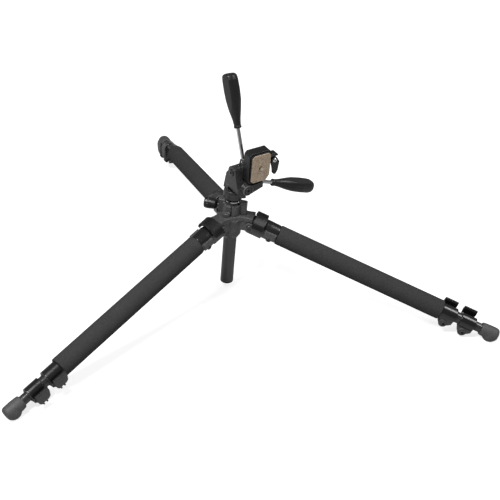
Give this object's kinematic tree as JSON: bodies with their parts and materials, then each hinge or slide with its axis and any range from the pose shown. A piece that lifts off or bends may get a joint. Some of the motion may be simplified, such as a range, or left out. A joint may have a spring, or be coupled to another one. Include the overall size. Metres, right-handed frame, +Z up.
{
  "type": "camera tripod with three-way pan head",
  "caption": "Low-set aluminium camera tripod: foam-gripped telescopic legs with flip locks, sliding centre column and a three-way pan head in portrait position.",
  "frame": {"origin": "on the floor under the centre column's axis, with all legs at their widest stop", "axes": "+Z up along the column axis; +Y along leg 1, legs 2 and 3 at 210 and 330 degrees from +X"},
  "size_m": [1.0334, 0.8984, 0.492],
  "materials": {
    "hub_paint": "textured dark grey paint",
    "black_steel": "satin black",
    "black_plastic": "satin black moulding",
    "column_anodised": "satin dark grey anodised",
    "chrome": "polished",
    "head_paint": "fine textured dark grey paint",
    "grip_plastic": "satin black",
    "cork_rubber": "speckled tan cork and rubber",
    "screw_steel": "machined",
    "tube_anodised": "satin dark grey anodised",
    "foam": "charcoal closed-cell foam",
    "ribbed_plastic": "ribbed black moulding",
    "clamp_plastic": "semi-gloss black",
    "lever_plastic": "textured dark grey",
    "foot_rubber": "dark grey rubber"
  },
  "bodies": {
    "hub": {"hub_casting": "hub_paint", "hinge_bolts": "black_steel", "column_collar": "hub_paint"},
    "column_knob": {"column_lock_knob": "black_plastic"},
    "column": {"column_tube": "column_anodised", "column_end_cap": "black_plastic", "pan_washer": "chrome"},
    "pan": {"pan_base": "head_paint"},
    "tilt": {"tilt_body": "head_paint", "tilt_axle": "head_paint", "flip_axle": "head_paint"},
    "tilt_handle": {"tilt_rod": "chrome", "tilt_grip": "grip_plastic"},
    "platform": {"flip_body": "head_paint", "qr_lever_pin": "chrome"},
    "flip_handle": {"flip_rod": "chrome", "flip_grip": "grip_plastic"},
    "plate_lever": {"qr_lever": "black_plastic"},
    "plate": {"qr_plate": "black_plastic", "cork_pad": "cork_rubber"},
    "screw": {"camera_screw": "screw_steel"},
    "leg_1_upper": {"leg_1_shoulder": "hub_paint", "leg_1_upper_tube": "tube_anodised", "leg_1_foam_grip": "foam", "leg_1_upper_clamp": "clamp_plastic", "leg_1_upper_clamp_bolt": "black_steel"},
    "leg_1_tab": {"leg_1_angle_tab": "ribbed_plastic"},
    "leg_1_upper_lever": {"leg_1_upper_lever": "lever_plastic"},
    "leg_1_middle": {"leg_1_middle_tube": "tube_anodised", "leg_1_lower_clamp": "clamp_plastic", "leg_1_lower_clamp_bolt": "black_steel"},
    "leg_1_lower_lever": {"leg_1_lower_lever": "lever_plastic"},
    "leg_1_lower": {"leg_1_lower_tube": "tube_anodised", "leg_1_foot": "foot_rubber"},
    "leg_2_upper": {"leg_2_shoulder": "hub_paint", "leg_2_upper_tube": "tube_anodised", "leg_2_foam_grip": "foam", "leg_2_upper_clamp": "clamp_plastic", "leg_2_upper_clamp_bolt": "black_steel"},
    "leg_2_tab": {"leg_2_angle_tab": "ribbed_plastic"},
    "leg_2_upper_lever": {"leg_2_upper_lever": "lever_plastic"},
    "leg_2_middle": {"leg_2_middle_tube": "tube_anodised", "leg_2_lower_clamp": "clamp_plastic", "leg_2_lower_clamp_bolt": "black_steel"},
    "leg_2_lower_lever": {"leg_2_lower_lever": "lever_plastic"},
    "leg_2_lower": {"leg_2_lower_tube": "tube_anodised", "leg_2_foot": "foot_rubber"},
    "leg_3_upper": {"leg_3_shoulder": "hub_paint", "leg_3_upper_tube": "tube_anodised", "leg_3_foam_grip": "foam", "leg_3_upper_clamp": "clamp_plastic", "leg_3_upper_clamp_bolt": "black_steel"},
    "leg_3_tab": {"leg_3_angle_tab": "ribbed_plastic"},
    "leg_3_upper_lever": {"leg_3_upper_lever": "lever_plastic"},
    "leg_3_middle": {"leg_3_middle_tube": "tube_anodised", "leg_3_lower_clamp": "clamp_plastic", "leg_3_lower_clamp_bolt": "black_steel"},
    "leg_3_lower_lever": {"leg_3_lower_lever": "lever_plastic"},
    "leg_3_lower": {"leg_3_lower_tube": "tube_anodised", "leg_3_foot": "foot_rubber"}
  },
  "joints": [
    {"name": "column_slide", "type": "slide", "parent": "hub", "child": "column", "axis": [0, 0, 1], "range_m": [0, 0.14]},
    {"name": "column_knob_turn", "type": "hinge", "parent": "hub", "child": "column_knob", "pos_m": [-0.02598, 0.015, 0.209], "axis": [-0.866, 0.5, 0], "range_deg": [0, 360]},
    {"name": "pan_turn", "type": "hinge", "parent": "column", "child": "pan", "pos_m": [0, 0, 0.245], "axis": [0, 0, 1], "continuous": true},
    {"name": "head_tilt", "type": "hinge", "parent": "pan", "child": "tilt", "pos_m": [0, 0, 0.281], "axis": [0.2699, -0.9629, 0], "range_deg": [-14, 90]},
    {"name": "head_flip", "type": "hinge", "parent": "tilt", "child": "platform", "pos_m": [0.0054, -0.01926, 0.312], "axis": [-0.9629, -0.2699, 0], "range_deg": [0, 90]},
    {"name": "tilt_handle_twist", "type": "hinge", "parent": "tilt", "child": "tilt_handle", "pos_m": [0.00121, -0.00433, 0.281], "axis": [0.8989, 0.252, -0.3584], "range_deg": [0, 360]},
    {"name": "flip_handle_twist", "type": "hinge", "parent": "platform", "child": "flip_handle", "pos_m": [0.01406, -0.01683, 0.312], "axis": [-0.1119, 0.3993, 0.91], "range_deg": [0, 360]},
    {"name": "plate_lever_turn", "type": "hinge", "parent": "platform", "child": "plate_lever", "pos_m": [0.06563, -0.03405, 0.3415], "axis": [0.2699, -0.9629, 0], "range_deg": [0, 55]},
    {"name": "plate_lift", "type": "slide", "parent": "platform", "child": "plate", "axis": [0.2699, -0.9629, 0], "range_m": [0, 0.025]},
    {"name": "camera_screw_turn", "type": "hinge", "parent": "plate", "child": "screw", "pos_m": [0.0343, -0.04751, 0.3336], "axis": [0.2699, -0.9629, 0], "continuous": true},
    {"name": "leg_1_fold", "type": "hinge", "parent": "hub", "child": "leg_1_upper", "pos_m": [0, 0.04337, 0.17541], "axis": [-1, 0, 0], "range_deg": [0, 72.8]},
    {"name": "leg_1_stop_tab", "type": "slide", "parent": "leg_1_upper", "child": "leg_1_tab", "axis": [0, 0.9553, -0.2955], "range_m": [0, 0.0045]},
    {"name": "leg_1_middle_slide", "type": "slide", "parent": "leg_1_upper", "child": "leg_1_middle", "axis": [0, 0.9553, -0.2955], "range_m": [0, 0.34]},
    {"name": "leg_1_lower_slide", "type": "slide", "parent": "leg_1_middle", "child": "leg_1_lower", "axis": [0, 0.9553, -0.2955], "range_m": [0, 0.34]},
    {"name": "leg_1_upper_lever_turn", "type": "hinge", "parent": "leg_1_upper", "child": "leg_1_upper_lever", "pos_m": [-0.021, 0.47328, 0.02755], "axis": [0, -0.9553, 0.2955], "range_deg": [0, 110]},
    {"name": "leg_1_lower_lever_turn", "type": "hinge", "parent": "leg_1_middle", "child": "leg_1_lower_lever", "pos_m": [-0.021, 0.51588, 0.01437], "axis": [0, -0.9553, 0.2955], "range_deg": [0, 110]},
    {"name": "leg_2_fold", "type": "hinge", "parent": "hub", "child": "leg_2_upper", "pos_m": [-0.03756, -0.02169, 0.17541], "axis": [0.5, -0.866, 0], "range_deg": [0, 72.8]},
    {"name": "leg_2_stop_tab", "type": "slide", "parent": "leg_2_upper", "child": "leg_2_tab", "axis": [-0.8273, -0.4777, -0.2955], "range_m": [0, 0.0045]},
    {"name": "leg_2_middle_slide", "type": "slide", "parent": "leg_2_upper", "child": "leg_2_middle", "axis": [-0.8273, -0.4777, -0.2955], "range_m": [0, 0.34]},
    {"name": "leg_2_lower_slide", "type": "slide", "parent": "leg_2_middle", "child": "leg_2_lower", "axis": [-0.8273, -0.4777, -0.2955], "range_m": [0, 0.34]},
    {"name": "leg_2_upper_lever_turn", "type": "hinge", "parent": "leg_2_upper", "child": "leg_2_upper_lever", "pos_m": [-0.39937, -0.25482, 0.02755], "axis": [0.8273, 0.4777, 0.2955], "range_deg": [0, 110]},
    {"name": "leg_2_lower_lever_turn", "type": "hinge", "parent": "leg_2_middle", "child": "leg_2_lower_lever", "pos_m": [-0.43627, -0.27613, 0.01437], "axis": [0.8273, 0.4777, 0.2955], "range_deg": [0, 110]},
    {"name": "leg_3_fold", "type": "hinge", "parent": "hub", "child": "leg_3_upper", "pos_m": [0.03756, -0.02169, 0.17541], "axis": [0.5, 0.866, 0], "range_deg": [0, 72.8]},
    {"name": "leg_3_stop_tab", "type": "slide", "parent": "leg_3_upper", "child": "leg_3_tab", "axis": [0.8273, -0.4777, -0.2955], "range_m": [0, 0.0045]},
    {"name": "leg_3_middle_slide", "type": "slide", "parent": "leg_3_upper", "child": "leg_3_middle", "axis": [0.8273, -0.4777, -0.2955], "range_m": [0, 0.34]},
    {"name": "leg_3_lower_slide", "type": "slide", "parent": "leg_3_middle", "child": "leg_3_lower", "axis": [0.8273, -0.4777, -0.2955], "range_m": [0, 0.34]},
    {"name": "leg_3_upper_lever_turn", "type": "hinge", "parent": "leg_3_upper", "child": "leg_3_upper_lever", "pos_m": [0.42037, -0.21845, 0.02755], "axis": [-0.8273, 0.4777, 0.2955], "range_deg": [0, 110]},
    {"name": "leg_3_lower_lever_turn", "type": "hinge", "parent": "leg_3_middle", "child": "leg_3_lower_lever", "pos_m": [0.45727, -0.23976, 0.01437], "axis": [-0.8273, 0.4777, 0.2955], "range_deg": [0, 110]}
  ]
}
